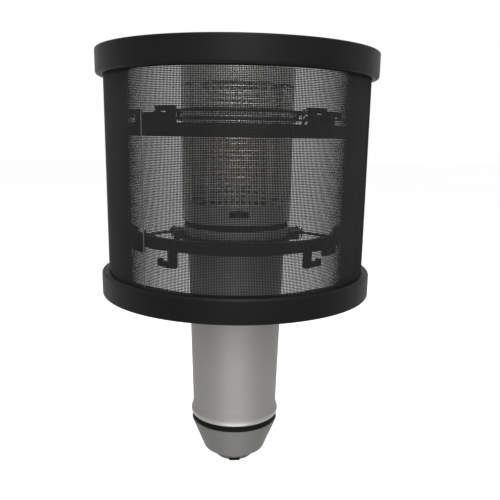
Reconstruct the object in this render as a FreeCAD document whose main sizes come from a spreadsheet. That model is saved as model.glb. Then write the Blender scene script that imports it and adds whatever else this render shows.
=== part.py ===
import FreeCAD, Part
import Sketcher
import math
import os
import re

# Microphone isolation shield: a half cylinder of woven wire between two half rings, open
# at the back, with a hooked elastic suspension inside that carries a side-address
# microphone. Millimetres, +Z up.
# The sub-parts are laid out about the shield's own axis with z = 0 at the underside of the
# bottom ring, the front facing -Y, and are then shifted so that the mouth of the stand
# thread, where the whole object is held, is the origin.

DIMENSIONS = {
    # shield rings and mesh, all half round the front
    "ring_span": 190.0, "mesh_span": 189.0,
    "ring_outer": 70.7, "ring_tall": 12.2, "ring_lip_inner": 60.5, "ring_lip_thick": 3.8,
    "ring_seat": 67.2, "ring_far_edge": 0.8, "ring_near_edge": 1.6, "ring_lip_edge": 0.9,
    "shield_low": -0.6, "shield_top": 120.4,
    "clamp_inner": 61.6, "clamp_outer": 66.2, "clamp_tall": 7.6, "clamp_gap": 0.1,
    "mesh_outer": 67.0, "mesh_thick": 0.6, "mesh_low": 3.4, "mesh_top": 116.4,
    "seam_azimuth": -41.0, "seam_span": 0.5, "seam_thick": 0.2, "seam_play": 0.02, "seam_end": 0.4,
    "screw_span": 150.0, "ring_screw_circle": 63.9, "ring_screw_shank": 1.5, "ring_screw_head": 2.75,
    "ring_screw_tall": 1.6, "ring_screw_sink": 1.9, "ring_screw_long": 7.0,
    # posts
    "post_inner": 58.8, "post_outer": 65.4, "post_wide": 10.0, "post_shoulder": 103.8,
    "tongue_inner": 62.2,
    # hoops and their hooks
    "hoop_inner": 54.3, "hoop_outer": 56.5, "hoop_tall": 5.7, "upper_hoop_low": 79.8, "lower_hoop_low": 27.7,
    "hook_stem": 4.2, "hook_start": 32.4, "hook_span": 10.9, "hook_reach": 7.7, "hook_bar": 2.5,
    "hook_tip": 1.4, "hook_tip_tall": 1.2, "hook_overlap": 0.1,
    "left_side_hook": 56.5, "right_side_hook": 46.5, "side_hook_span": 13.0, "side_hook_reach": 6.4,
    "low_side_hook_reach": 3.4, "web_tall": 4.8, "web_overlap": 0.2,
    "ear_span": 8.0, "hoop_screw_shank": 1.25, "hoop_screw_head": 2.3, "hoop_screw_seat": 0.35,
    "hoop_screw_tall": 1.65, "hoop_screw_bite": 4.0,
    "rear_rod_circle": 60.2, "rear_rod": 0.6, "upper_rod_height": 89.7, "lower_rod_height": 23.0,
    "cord": 0.75, "hook_play": 1.0, "slot_play": 0.9, "lug_play": 1.1, "rod_play": 0.8, "strand_step": 10.0,
    "strand_drop": 1.2, "low_strand_rise": 4.6, "hole_play": 0.1,
    # stand bracket and swivel
    "stand_axis": 86.0, "stand_mouth": 20.0, "pivot_height": 58.0, "pivot_pin": 3.0, "pivot_bore": 3.06,
    "block_radius": 11.0, "block_tall": 24.0, "tongue_half": 8.0, "tongue_round": 10.0,
    "tongue_eye": 8.5, "tongue_step": 2.0,
    "ear_half": 14.0, "ear_gap": 11.3, "ear_root": 0.5, "plate_thick": 4.0,
    "rear_post_low": 17.0, "rear_post_high": 96.0,
    "plate_low": 37.0, "plate_tall": 44.0, "plate_half": 16.0,
    "thread_bore": 7.5, "insert_outer": 9.4, "thread_long": 16.0,
    "knob_tall": 9.0, "knob_core": 8.5, "knob_lobe": 3.2, "knob_lobe_circle": 7.0,
    "knob_gap": 0.4, "pin_past_ear": 5.5, "washer": 7.0, "washer_play": 0.05, "nut": 5.8, "nut_tall": 4.0,
    "nut_gap": 0.1, "past": 1.0, "screw_spread": 14.0, "bracket_screw": 2.0, "bracket_screw_head": 3.6,
    "bracket_screw_tall": 2.2,
    # cradle
    "cradle_circle": 30.8, "wire": 0.75, "upper_wire_high": 92.4, "upper_wire_low": 88.5,
    "cradle_plate_inner": 26.2, "cradle_plate_outer": 29.4, "cradle_plate_low": 27.2,
    "cradle_plate_tall": 2.2, "cradle_lug_tall": 4.4, "lug_outer": 33.6, "lug_thick": 1.0, "lug_span": 40.0,
    "plate_lug_span": 30.0, "tab_azimuth": 158.0, "tab_span": 16.0, "sleeve": 1.55, "sleeve_span": 15.0,
    "spine": 1.1, "spine_circle": 31.2, "stay_azimuth": 12.0,
    # microphone
    "head_top": 117.0, "head_top_radius": 29.1, "head_low": 37.0, "head_low_radius": 28.4,
    "head_round": 4.5, "window_top": 105.0, "window_low": 46.5, "head_wall": 1.3, "rib_span": 26.0,
    "inner_grille": 26.2, "inner_grille_wall": 0.4, "inner_grille_low": 3.4, "grille_wall": 0.5,
    "grille_inset": 0.2, "grille_play": 0.4, "collar_wall": 2.2,
    "flange_radius": 28.0, "flange_low": 29.6, "flange_high": 34.0, "gasket_radius": 27.3,
    "gasket_wall": 3.0,
    "body_top_radius": 25.8, "body_neck_radius": 23.2, "body_neck": -65.0, "body_wall": 1.4,
    "lip_radius": 24.3, "lip_height": -69.6, "lip_low": -72.0, "lip_edge": 1.3, "oring_low": -75.0,
    "oring_radius": 23.5, "oring_inner": 19.2,
    "cone_top_radius": 23.9, "cone_top_edge": 0.5, "cone_end_radius": 16.9, "cone_low": -93.0,
    "cone_edge": 1.2, "shell_hidden": 9.0, "collar_radius": 10.6, "collar_low": -98.6, "collar_edge": 0.6,
    "notch_wide": 6.0, "notch_tall": 1.6, "socket_radius": 7.6, "socket_deep": 12.0, "shell_step": 0.6,
    "pin_radius": 1.2, "pin_circle": 4.2, "pin_sunk": 2.0, "insulator_tall": 6.0, "close_fit": 0.02,
    "capsule_height": 70.8, "capsule_radius": 17.0, "capsule_thick": 8.0, "capsule_ring": 1.2,
    "capsule_ring_wide": 3.0, "film": 0.2, "film_play": 0.1,
    "saddle_low": 3.2, "saddle_foot": 12.0, "saddle_top": 7.0, "saddle_bite": 2.0, "saddle_thick": 7.0,
    "base_plate_low": 0.8, "base_plate_tall": 2.4, "base_plate_inset": 0.8,
    "switch_height": 42.6, "switch_slot_wide": 9.4, "switch_slot_tall": 3.4, "switch_slot_deep": 6.0,
    "button_wide": 3.2, "button_tall": 2.8, "button_out": 0.7, "button_deep": 3.0,
    "tongue_wide": 2.4, "tongue_tall": 2.0, "tongue_in": 2.0, "tongue_deep": 2.2,
    "rear_switch_height": 8.0, "rear_switch_shift": 7.0, "rear_slot_wide": 7.0, "rear_slot_tall": 3.0,
    "rear_slot_in": 4.0, "rear_slot_deep": 9.0, "rear_button_wide": 2.6, "rear_button_tall": 2.4,
    "rear_button_in": 2.6, "rear_button_deep": 3.1,
    "rail_shift": 17.0, "rail": 1.8, "rail_play": 0.3,
    "board_wide": 29.0, "board_thick": 1.6, "board_tall": 62.0, "board_low": -38.0, "board_shift": -0.2,
    "core_wide": 22.0, "core_deep": 18.0, "core_tall": 20.0, "core_low": -63.0,
}

doc = FreeCAD.newDocument("isolation_shield")
sheet = doc.addObject("Spreadsheet::Sheet", "Dims")
for row, (alias, value) in enumerate(DIMENSIONS.items(), start=1):
    sheet.set("A%d" % row, alias)
    sheet.set("B%d" % row, str(value))
    sheet.setAlias("B%d" % row, alias)
doc.recompute()

SHIFT = FreeCAD.Vector(0, -DIMENSIONS["stand_axis"], -DIMENSIONS["stand_mouth"])
UP = FreeCAD.Vector(0, 0, 1)
RING_SCREWS = 6
KNOB_LOBES = 5
PIN_AZIMUTHS = (0, 110, 250)
SLEEVE_AZIMUTHS = (112, 136, 209, 233)
# where each pair of strands meets the cradle's lugs, and where the rear ones leave the rods
UPPER_FRONT_LUGS = (79, 83)
UPPER_REAR = ((142, 101), (132, 97))
LOWER_FRONT = (60, 82)
LOWER_REAR = (142, 98)
parts = []


# ---------------------------------------------------------------- helpers

def formula(text):
    """Turn dimension names in an expression into references to the spreadsheet's cells."""
    return re.sub(r"[a-z_]+", lambda found: "Dims." + found.group(0)
                  if found.group(0) in DIMENSIONS else found.group(0), str(text))


def size(text):
    """The number that an expression of dimension names stands for, read from the sheet."""
    total = doc.getObject("Dims").evalExpression(formula(text).replace("Dims.", ""))
    return float(getattr(total, "Value", total))


def bind(item, **sizes):
    for name, text in sizes.items():
        item.setExpression(name, formula(text))
    return item


def keep(item, label, turn=0.0):
    """Name a finished sub-part and put it in its place, turned about the shield's axis."""
    item.Label = label
    item.Placement = FreeCAD.Placement(SHIFT, FreeCAD.Rotation(UP, turn)).multiply(item.Placement)
    parts.append(item)
    return item


def origin_plane(body, role):
    return next(plane for plane in body.Origin.OriginFeatures if plane.Role == role)


def polygon(sketch, corners):
    """A closed outline whose corners are held at expressions of the dimensions."""
    count = len(corners)
    spots = [FreeCAD.Vector(size(x), size(y), 0) for x, y in corners]
    for index in range(count):
        sketch.addGeometry(Part.LineSegment(spots[index], spots[(index + 1) % count]), False)
    for index in range(count):
        sketch.addConstraint(Sketcher.Constraint("Coincident", index, 2, (index + 1) % count, 1))
    for index, (x, y) in enumerate(corners):
        for kind, text, axis in (("DistanceX", x, -2), ("DistanceY", y, -1)):
            value = size(text)
            if abs(value) < 1e-9:
                sketch.addConstraint(Sketcher.Constraint("PointOnObject", index, 1, axis))
                continue
            number = sketch.addConstraint(Sketcher.Constraint(kind, -1, 1, index, 1, value))
            sketch.setExpression("Constraints[%d]" % number, formula(text))


def sketch_on(body, role, name):
    sketch = body.newObject("Sketcher::SketchObject", name)
    sketch.AttachmentSupport = [(origin_plane(body, role), "")]
    sketch.MapMode = "FlatFace"
    return sketch


def turned(name, corners, span=None):
    """A body turned about the vertical axis from (radius, height) corners."""
    body = doc.addObject("PartDesign::Body", name)
    sketch = sketch_on(body, "XZ_Plane", name + "_profile")
    polygon(sketch, corners)
    spin = body.newObject("PartDesign::Revolution", name + "_turned")
    spin.Profile = sketch
    spin.ReferenceAxis = (sketch, ["V_Axis"])
    spin.Midplane = span is not None
    spin.Angle = 360.0
    if span is not None:
        spin.setExpression("Angle", formula(span))
    doc.recompute()
    return body


def padded(name, role, corners, length, offset="0"):
    """A body padded both ways from an origin plane; offset moves it along the pad."""
    body = doc.addObject("PartDesign::Body", name)
    sketch = sketch_on(body, role, name + "_outline")
    polygon(sketch, corners)
    sketch.AttachmentOffset = FreeCAD.Placement(FreeCAD.Vector(0, 0, size(offset)), FreeCAD.Rotation())
    pad = body.newObject("PartDesign::Pad", name + "_pad")
    pad.Profile = sketch
    pad.Midplane = True
    pad.setExpression("Length", formula(length))
    doc.recompute()
    return body


def round_off(body, radius, wanted):
    """Fillet the edges of a body that the test picks."""
    tip = body.Tip
    names = ["Edge%d" % (index + 1) for index, edge in enumerate(tip.Shape.Edges) if wanted(edge)]
    fillet = body.newObject("PartDesign::Fillet", body.Name + "_round")
    fillet.Base = (tip, names)
    fillet.setExpression("Radius", formula(radius))
    doc.recompute()
    return body


def circle_at(radius, height):
    """A test for a circular edge of this radius at this height."""
    def wanted(edge):
        curve = edge.Curve
        return (isinstance(curve, Part.Circle) and abs(curve.Radius - size(radius)) < 0.05
                and abs(curve.Center.z - size(height)) < 0.05)
    return wanted


def drilled(body, name, circle, radius, face="0", length=None):
    """A row of holes along Z round a circle: right through, or half the length deep from a face."""
    sketch = sketch_on(body, "XY_Plane", name + "_circle")
    sketch.AttachmentOffset = FreeCAD.Placement(FreeCAD.Vector(0, 0, size(face)), FreeCAD.Rotation())
    first = math.radians(-size("screw_span") / 2)
    spot = FreeCAD.Vector(size(circle) * math.cos(first), size(circle) * math.sin(first), 0)
    sketch.addGeometry(Part.Circle(spot, UP, size(radius)), False)
    pocket = body.newObject("PartDesign::Pocket", name)
    pocket.Profile = sketch
    pocket.Midplane = True
    if length is None:
        pocket.Type = 1
    else:
        pocket.setExpression("Length", formula(length))
    doc.recompute()
    ring = body.newObject("PartDesign::PolarPattern", name + "_pattern")
    ring.Originals = [pocket]
    ring.Axis = (sketch, ["N_Axis"])
    ring.setExpression("Angle", formula("screw_span"))
    ring.Occurrences = RING_SCREWS
    body.Tip = ring
    doc.recompute()
    return body


def primitive(kind, name, spot=(0, 0, 0), rotation=None, **sizes):
    item = doc.addObject("Part::" + kind, name)
    bind(item, **sizes)
    item.Placement = FreeCAD.Placement(FreeCAD.Vector(*spot), rotation or FreeCAD.Rotation())
    return item


def block(name, centre, wide, deep, tall):
    """A box whose middle is at a point; its sizes are expressions."""
    corner = centre - FreeCAD.Vector(size(wide) / 2, size(deep) / 2, size(tall) / 2)
    return primitive("Box", name, tuple(corner), Length=wide, Width=deep, Height=tall)


def fused(name, pieces):
    item = doc.addObject("Part::MultiFuse", name)
    item.Shapes = pieces
    return item


def cut(name, base, tool):
    item = doc.addObject("Part::Cut", name)
    item.Base = base
    item.Tool = tool
    return item


def group(name, pieces):
    item = doc.addObject("Part::Compound", name)
    item.Links = pieces
    return item


def sector(name, inner, outer, low, tall, start, span):
    """A block bent round the axis; azimuths count from the front (-Y) towards +X."""
    turn = FreeCAD.Rotation(UP, size(start) - 90.0)
    spot = (0, 0, size(low))
    full = primitive("Cylinder", name + "_full", spot, turn, Radius=outer, Height=tall, Angle=span)
    core = primitive("Cylinder", name + "_core", spot, turn, Radius=inner, Height=tall, Angle=span)
    return cut(name, full, core)


def around(azimuth, radius, height):
    """A point at an azimuth from the front, a radius and a height."""
    angle = math.radians(azimuth)
    return FreeCAD.Vector(radius * math.sin(angle), -radius * math.cos(angle), height)


def rod(name, start, end, radius):
    """A round bar from one point to another."""
    along = end - start
    bar = primitive("Cylinder", name, tuple(start), FreeCAD.Rotation(UP, along), Radius=radius)
    bar.Height = along.Length
    return bar


def wire_arc(name, circle, radius, height, start, span):
    """A round bar bent round the axis."""
    bar = primitive("Torus", name, (0, 0, size(height)), FreeCAD.Rotation(UP, size(start) - 90.0),
                    Radius1=circle, Radius2=radius)
    bar.Angle3 = size(span)
    return bar


def side_name(side):
    return "left" if side < 0 else "right"


# ---------------------------------------------------------------- shield rings and mesh

def ring(name, upward):
    """A ring with a lip that closes the mesh's end; upward says which way the seat opens."""
    def level(distance):
        return "shield_low + " + distance if upward else "shield_top - " + distance
    corners = [("ring_lip_inner", level("0")), ("ring_outer", level("0")),
               ("ring_outer", level("ring_tall")), ("ring_seat", level("ring_tall")),
               ("ring_seat", level("ring_lip_thick")), ("ring_lip_inner", level("ring_lip_thick"))]
    body = turned(name, corners, "ring_span")
    round_off(body, "ring_far_edge", circle_at("ring_outer", level("0")))
    round_off(body, "ring_near_edge", circle_at("ring_outer", level("ring_tall")))
    round_off(body, "ring_lip_edge", circle_at("ring_lip_inner", level("0")))
    drilled(body, name + "_screw_holes", "ring_screw_circle", "ring_screw_shank + hole_play")
    drilled(body, name + "_screw_sinks", "ring_screw_circle", "ring_screw_head + 2 * hole_play", level("0"),
            "2 * ring_screw_sink")
    return keep(body, name, -90)


def clamp_ring(name, low):
    corners = [("clamp_inner", low), ("clamp_outer", low), ("clamp_outer", low + " + clamp_tall"),
               ("clamp_inner", low + " + clamp_tall")]
    return keep(turned(name, corners, "ring_span"), name, -90)


def ring_screws(name, face, inward):
    """Screws through a ring's lip into its clamp ring, their heads sunk in the lip."""
    screws = []
    for index in range(RING_SCREWS):
        azimuth = size("screw_span") * (index / (RING_SCREWS - 1) - 0.5)
        circle = size("ring_screw_circle")
        seat = size(face) + inward * size("ring_screw_sink")
        spot = around(azimuth, circle, seat)
        tip = around(azimuth, circle, seat + inward * size("ring_screw_long"))
        head_end = around(azimuth, circle, seat - inward * size("ring_screw_tall"))
        shank = rod("%s_shank%d" % (name, index), spot, tip, "ring_screw_shank")
        head = rod("%s_head%d" % (name, index), spot, head_end, "ring_screw_head")
        screws.append(fused("%s_screw%d" % (name, index), [shank, head]))
    return keep(group(name, screws), name)


def mesh_screen():
    """The wire cloth as one thin wall."""
    corners = [("mesh_outer - mesh_thick", "mesh_low"), ("mesh_outer", "mesh_low"),
               ("mesh_outer", "mesh_top"), ("mesh_outer - mesh_thick", "mesh_top")]
    return keep(turned("mesh_screen", corners, "mesh_span"), "mesh_screen", -90)


def seam_strip():
    """The strip over the join in the wire cloth."""
    strip = sector("mesh_seam_strip", "mesh_outer + seam_play", "mesh_outer + seam_thick",
                   "shield_low + ring_tall + seam_end",
                   "shield_top - shield_low - 2 * ring_tall - 2 * seam_end",
                   "seam_azimuth - seam_span / 2", "seam_span")
    return keep(strip, "mesh_seam_strip")


# ---------------------------------------------------------------- posts, hoops and rods

def side_post(name, turn):
    """A flat post between the clamp rings, with a narrower tongue at its top."""
    low = "shield_low + ring_lip_thick + clamp_gap + clamp_tall"
    high = "shield_top - ring_lip_thick - clamp_gap - clamp_tall"
    corners = [("post_inner", low), ("post_outer", low), ("post_outer", high), ("tongue_inner", high),
               ("tongue_inner", "post_shoulder"), ("post_inner", "post_shoulder")]
    body = padded(name, "XZ_Plane", corners, "post_wide")
    return keep(body, name, turn)


def rear_post():
    """The post behind the microphone, held by the upper hoop and carrying the stand bracket."""
    corners = [("post_inner", "rear_post_low"), ("post_outer", "rear_post_low"),
               ("post_outer", "rear_post_high"), ("post_inner", "rear_post_high")]
    return keep(padded("rear_post", "XZ_Plane", corners, "post_wide"), "rear_post", 90)


def hook_pieces(name, side, low, start, hang, reach, span):
    """One L-shaped hook: a stem, a bar pointing away from the front and a turned-in tip."""
    stem_low = low if hang > 0 else "%s - %s" % (low, reach)
    bar_low = "%s + %s - hook_bar" % (low, reach) if hang > 0 else "%s - %s" % (low, reach)
    tip_low = ("%s - hook_tip_tall + hook_overlap" if hang > 0 else "%s + hook_bar - hook_overlap") % bar_low
    pieces = []
    for part, foot, tall, first, width in (
            ("stem", stem_low, reach, start, "hook_stem"),
            ("bar", bar_low, "hook_bar", start, span),
            ("tip", tip_low, "hook_tip_tall", "%s + %s - hook_tip" % (start, span), "hook_tip")):
        begin = first if side > 0 else "-(%s) - (%s)" % (first, width)
        pieces.append(sector("%s_%s" % (name, part), "hoop_inner", "hoop_outer", foot, tall, begin, width))
    return pieces


def hoop_ears(low):
    """The azimuths of a hoop's ears: the upper hoop goes all the way round to the rear post."""
    return (-90, 90, 180) if low == "upper_hoop_low" else (-90, 90)


def hoop(name, low, hang):
    """A hoop with an ear at each post and two hooks at each side; the lower one is a half hoop."""
    edge = "%s + hoop_tall" % low if hang > 0 else low
    start, span = ("0", "360") if hang > 0 else ("-90", "180")
    pieces = [sector(name + "_band", "hoop_inner", "hoop_outer", low, "hoop_tall", start, span)]
    side_reach = "side_hook_reach" if hang > 0 else "low_side_hook_reach"
    for side in (-1, 1):
        tag = "%s_%s" % (name, side_name(side))
        side_start = side_name(side) + "_side_hook"
        pieces += hook_pieces(tag + "_hook", side, edge, "hook_start", hang, "hook_reach", "hook_span")
        pieces += hook_pieces(tag + "_side_hook", side, edge, side_start, hang, side_reach,
                              "side_hook_span")
        if hang > 0:
            web = side_start + " - hook_start - hook_stem + 2 * web_overlap"
            start = ("hook_start + hook_stem - web_overlap" if side > 0
                     else "-(%s) - web_overlap" % side_start)
            pieces.append(sector(tag + "_web", "hoop_inner", "hoop_outer", edge, "web_tall", start, web))
    bores = []
    middle = size(low) + size("hoop_tall") / 2
    for azimuth in hoop_ears(low):
        tag = "%s_ear%d" % (name, azimuth + 90)
        pieces.append(sector(tag, "hoop_inner", "post_inner", low, "hoop_tall",
                             "%d - ear_span / 2" % azimuth, "ear_span"))
        bores.append(rod(tag + "_bore", around(azimuth, size("hoop_inner - past"), middle),
                         around(azimuth, size("post_inner + past"), middle),
                         "hoop_screw_shank + hole_play"))
    return keep(cut(name, fused(name + "_solid", pieces), fused(name + "_bores", bores)), name)


def hoop_screws():
    """The screws that hold the hoops' ears to the posts."""
    screws = []
    for low in ("upper_hoop_low", "lower_hoop_low"):
        height = size(low) + size("hoop_tall") / 2
        for azimuth in hoop_ears(low):
            tag = "hoop_screw_%s_%d" % (low[:5], azimuth + 90)
            seat = around(azimuth, size("hoop_inner - hoop_screw_seat"), height)
            tip = around(azimuth, size("post_inner + hoop_screw_bite"), height)
            end = around(azimuth, size("hoop_inner - hoop_screw_seat - hoop_screw_tall"), height)
            shank = rod(tag + "_shank", seat, tip, "hoop_screw_shank")
            head = rod(tag + "_head", seat, end, "hoop_screw_head")
            screws.append(fused(tag, [shank, head]))
    return keep(group("hoop_screws", screws), "hoop_screws")


def rear_rod(name, height):
    """A round rod behind the microphone, from one side post to the other through the rear post."""
    return keep(wire_arc(name, "rear_rod_circle", "rear_rod", height, "93", "174"), name)


def cords(name, runs):
    """Straight strands of elastic cord, each between a hook and a lug of the cradle."""
    strands = []
    for index, (outer, inner) in enumerate(runs):
        for side in (-1, 1):
            start = around(side * outer[0], outer[1], outer[2])
            end = around(side * inner[0], inner[1], inner[2])
            strands.append(rod("%s_%s%d" % (name, side_name(side), index), start, end, "cord"))
    return keep(group(name, strands), name)


def upper_cords():
    """Four strands a side: two from the front hook and two from the rear rod to the upper ring."""
    slot = size("upper_hoop_low + hoop_tall + hook_reach - hook_bar - slot_play")
    rim = size("lug_outer + lug_play")
    hooked = size("hook_start + hook_stem + slot_play")
    outer = size("hoop_inner - hook_play")
    rear = size("rear_rod_circle - rear_rod - rod_play")
    rod_height = size("upper_rod_height")
    first, second = UPPER_FRONT_LUGS
    high, low = size("upper_wire_high"), size("upper_wire_low")
    runs = [((hooked, outer, slot), (first, rim, high)),
            ((hooked + size("strand_step"), outer, slot - size("strand_drop")), (second, rim, low))]
    for (azimuth, lug), height in zip(UPPER_REAR, (high, low)):
        runs.append(((azimuth, rear, rod_height), (lug, rim, height)))
    return cords("upper_elastic_cords", runs)


def lower_cords():
    """Two strands a side: from the lower hoop and from the rear rod to the lower ring's lugs."""
    rim = size("lug_outer + lug_play")
    lug = size("cradle_plate_low + cradle_lug_tall - lug_thick")
    outer = size("hoop_inner - hook_play")
    rear = size("rear_rod_circle - rear_rod - rod_play")
    return cords("lower_elastic_cords", [
        ((LOWER_FRONT[0], outer, size("lower_hoop_low + low_strand_rise")), (LOWER_FRONT[1], rim, lug)),
        ((LOWER_REAR[0], rear, size("lower_rod_height")), (LOWER_REAR[1], rim, lug))])


# ---------------------------------------------------------------- stand bracket and swivel

def pivot_point(x):
    return FreeCAD.Vector(x, size("stand_axis"), size("pivot_height"))


def bracket_screw_heights():
    """Two screws, evenly spaced about the bracket plate's middle."""
    middle = size("plate_low + plate_tall / 2")
    return middle - size("screw_spread"), middle + size("screw_spread")


def stand_bracket():
    """A plate on the back of the rear post, with two ears for the tilt pivot."""
    plate = primitive("Box", "bracket_plate", (-size("plate_half"), size("post_outer"), size("plate_low")),
                      Length="2 * plate_half", Width="plate_thick", Height="plate_tall")
    pieces = [plate]
    back = size("post_outer + plate_thick - ear_root")
    for side in (-1, 1):
        tag = "bracket_ear_" + side_name(side)
        low = min(side * size("ear_gap"), side * size("ear_half"))
        high = low + size("ear_half - ear_gap")
        web = primitive("Box", tag, (low, back, size("pivot_height - tongue_round")),
                        Length="ear_half - ear_gap",
                        Width="stand_axis - post_outer - plate_thick + ear_root", Height="2 * tongue_round")
        pieces += [web, rod(tag + "_end", pivot_point(low), pivot_point(high), "tongue_round")]
    wide = size("ear_half + past")
    holes = [rod("bracket_pivot", pivot_point(-wide), pivot_point(wide), "pivot_bore")]
    for height in bracket_screw_heights():
        holes.append(rod("bracket_screw_hole%d" % height,
                         FreeCAD.Vector(0, size("post_outer - past"), height),
                         FreeCAD.Vector(0, size("post_outer + plate_thick + past"), height),
                         "bracket_screw + hole_play"))
    return keep(cut("stand_bracket", fused("bracket_solid", pieces), fused("bracket_holes", holes)),
                "stand_bracket")


def bracket_screws():
    """Two screws through the bracket plate into the rear post."""
    screws = []
    face = size("post_outer + plate_thick")
    for height in bracket_screw_heights():
        tag = "bracket_screw%d" % height
        seat = FreeCAD.Vector(0, face, height)
        shank = rod(tag + "_shank", FreeCAD.Vector(0, size("post_inner + past"), height), seat,
                    "bracket_screw")
        head = rod(tag + "_head", seat, seat + FreeCAD.Vector(0, size("bracket_screw_tall"), 0),
                   "bracket_screw_head")
        screws.append(fused(tag, [shank, head]))
    return keep(group("bracket_screws", screws), "bracket_screws")


def stand_swivel():
    """The block that screws on to a stand, with a tongue for the tilt pivot."""
    barrel = primitive("Cylinder", "swivel_barrel", (0, size("stand_axis"), size("stand_mouth")),
                       Radius="block_radius", Height="block_tall")
    half = size("tongue_half")
    tongue = primitive("Box", "swivel_tongue",
                       (-half, size("stand_axis - tongue_eye"),
                        size("stand_mouth + block_tall - tongue_step")),
                       Length="2 * tongue_half", Width="2 * tongue_eye",
                       Height="pivot_height - stand_mouth - block_tall + tongue_step")
    eye = rod("swivel_eye", pivot_point(-half), pivot_point(half), "tongue_eye")
    bore = primitive("Cylinder", "swivel_bore", (0, size("stand_axis"), size("stand_mouth - past")),
                     Radius="insert_outer", Height="thread_long + past")
    wide = size("tongue_half + past")
    hole = rod("swivel_hole", pivot_point(-wide), pivot_point(wide), "pivot_bore")
    solid = fused("swivel_solid", [barrel, tongue, eye])
    return keep(cut("stand_swivel", solid, fused("swivel_holes", [bore, hole])), "stand_swivel")


def thread_insert():
    """The threaded sleeve in the swivel block."""
    sleeve = primitive("Cylinder", "insert_sleeve", (0, size("stand_axis"), size("stand_mouth")),
                       Radius="insert_outer", Height="thread_long")
    bore = primitive("Cylinder", "insert_bore", (0, size("stand_axis"), size("stand_mouth - past")),
                     Radius="thread_bore", Height="thread_long + 2 * past")
    return keep(cut("thread_insert", sleeve, bore), "thread_insert")


def friction_washers():
    """A washer each side of the tongue, between it and the bracket's ears."""
    washers = []
    for side in (-1, 1):
        tag = "washer_" + side_name(side)
        start = pivot_point(side * size("tongue_half + washer_play"))
        end = pivot_point(side * size("ear_gap - washer_play"))
        disc = rod(tag + "_disc", start, end, "washer")
        hole = rod(tag + "_hole", start, end, "pivot_bore")
        washers.append(cut(tag, disc, hole))
    return keep(group("friction_washers", washers), "friction_washers")


def tilt_knob():
    """A star knob with its screw through both ears."""
    face = pivot_point(size("ear_half + knob_gap"))
    end = pivot_point(size("ear_half + knob_gap + knob_tall"))
    pieces = [rod("knob_core", face, end, "knob_core")]
    reach = size("knob_lobe_circle")
    for index in range(KNOB_LOBES):
        angle = 2 * math.pi * index / KNOB_LOBES
        shift = FreeCAD.Vector(0, reach * math.cos(angle), reach * math.sin(angle))
        pieces.append(rod("knob_lobe%d" % index, face + shift, end + shift, "knob_lobe"))
    tip = pivot_point(-size("ear_half + pin_past_ear"))
    pieces.append(rod("knob_screw", tip, face + FreeCAD.Vector(size("past"), 0, 0), "pivot_pin"))
    return keep(fused("tilt_knob", pieces), "tilt_knob")


def pivot_nut():
    """The hexagon nut on the knob's screw."""
    start = pivot_point(-size("ear_half + nut_gap"))
    nut = doc.addObject("Part::Prism", "nut_hexagon")
    nut.Polygon = 6
    bind(nut, Circumradius="nut", Height="nut_tall")
    nut.Placement = FreeCAD.Placement(start, FreeCAD.Rotation(UP, FreeCAD.Vector(-1, 0, 0)))
    end = pivot_point(-size("ear_half + nut_gap + nut_tall + past"))
    hole = rod("nut_hole", start, end, "pivot_bore")
    return keep(cut("pivot_nut", nut, hole), "pivot_nut")


# ---------------------------------------------------------------- cradle

def cradle_upper_ring():
    """Two wire hoops round the microphone's head, joined by short stays, with cord lugs."""
    pieces = [wire_arc("cradle_wire_high", "cradle_circle", "wire", "upper_wire_high", "0", "360"),
              wire_arc("cradle_wire_low", "cradle_circle", "wire", "upper_wire_low", "0", "360")]
    rise = FreeCAD.Vector(0, 0, size("upper_wire_high - upper_wire_low"))
    for side in (-1, 1):
        tag = side_name(side)
        for index, turn in enumerate((-1, 1)):
            azimuth = side * (90 + turn * size("stay_azimuth"))
            foot = around(azimuth, size("cradle_circle"), size("upper_wire_low"))
            pieces.append(rod("cradle_stay_%s%d" % (tag, index), foot, foot + rise, "wire"))
        for label, height in (("high", "upper_wire_high"), ("low", "upper_wire_low")):
            pieces.append(sector("cradle_lug_%s_%s" % (tag, label), "cradle_circle", "lug_outer",
                                 height + " - lug_thick / 2", "lug_thick", "%d - lug_span / 2" % (side * 90),
                                 "lug_span"))
    return keep(fused("cradle_upper_ring", pieces), "cradle_upper_ring")


def cradle_lower_ring():
    """The plate that the microphone's flange rests on, with side lugs and rear tabs."""
    pieces = [sector("cradle_plate", "cradle_plate_inner", "cradle_plate_outer", "cradle_plate_low",
                     "cradle_plate_tall", "0", "360")]
    for side in (-1, 1):
        pieces.append(sector("cradle_plate_lug_" + side_name(side), "cradle_plate_outer - past", "lug_outer",
                             "cradle_plate_low", "cradle_lug_tall", "%d - plate_lug_span / 2" % (side * 90),
                             "plate_lug_span"))
        pieces.append(sector("cradle_tab_" + side_name(side), "cradle_plate_outer - past",
                             "spine_circle + 2 * spine", "cradle_plate_low", "cradle_plate_tall",
                             "%d * tab_azimuth - tab_span / 2" % side, "tab_span"))
    return keep(fused("cradle_lower_ring", pieces), "cradle_lower_ring")


def cradle_spines():
    """Two bars behind the microphone that join the cradle's rings."""
    bars = []
    for side in (-1, 1):
        azimuth = side * size("tab_azimuth")
        foot = around(azimuth, size("spine_circle"), size("cradle_plate_low"))
        head = around(azimuth, size("spine_circle"), size("upper_wire_high"))
        bars.append(rod("spine_" + side_name(side), foot, head, "spine"))
    return keep(group("cradle_spines", bars), "cradle_spines")


def cradle_sleeves():
    """Rubber sleeves on the upper wires that keep the head from rattling."""
    sleeves = []
    for azimuth in SLEEVE_AZIMUTHS:
        for label, height in (("high", "upper_wire_high"), ("low", "upper_wire_low")):
            tag = "sleeve_%s_%d" % (label, azimuth)
            outer = wire_arc(tag + "_outer", "cradle_circle", "sleeve", height, str(azimuth), "sleeve_span")
            inner = wire_arc(tag + "_bore", "cradle_circle", "wire", height, "%d - past" % azimuth,
                             "sleeve_span + 2 * past")
            sleeves.append(cut(tag, outer, inner))
    return keep(group("cradle_sleeves", sleeves), "cradle_sleeves")


# ---------------------------------------------------------------- microphone head

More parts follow.
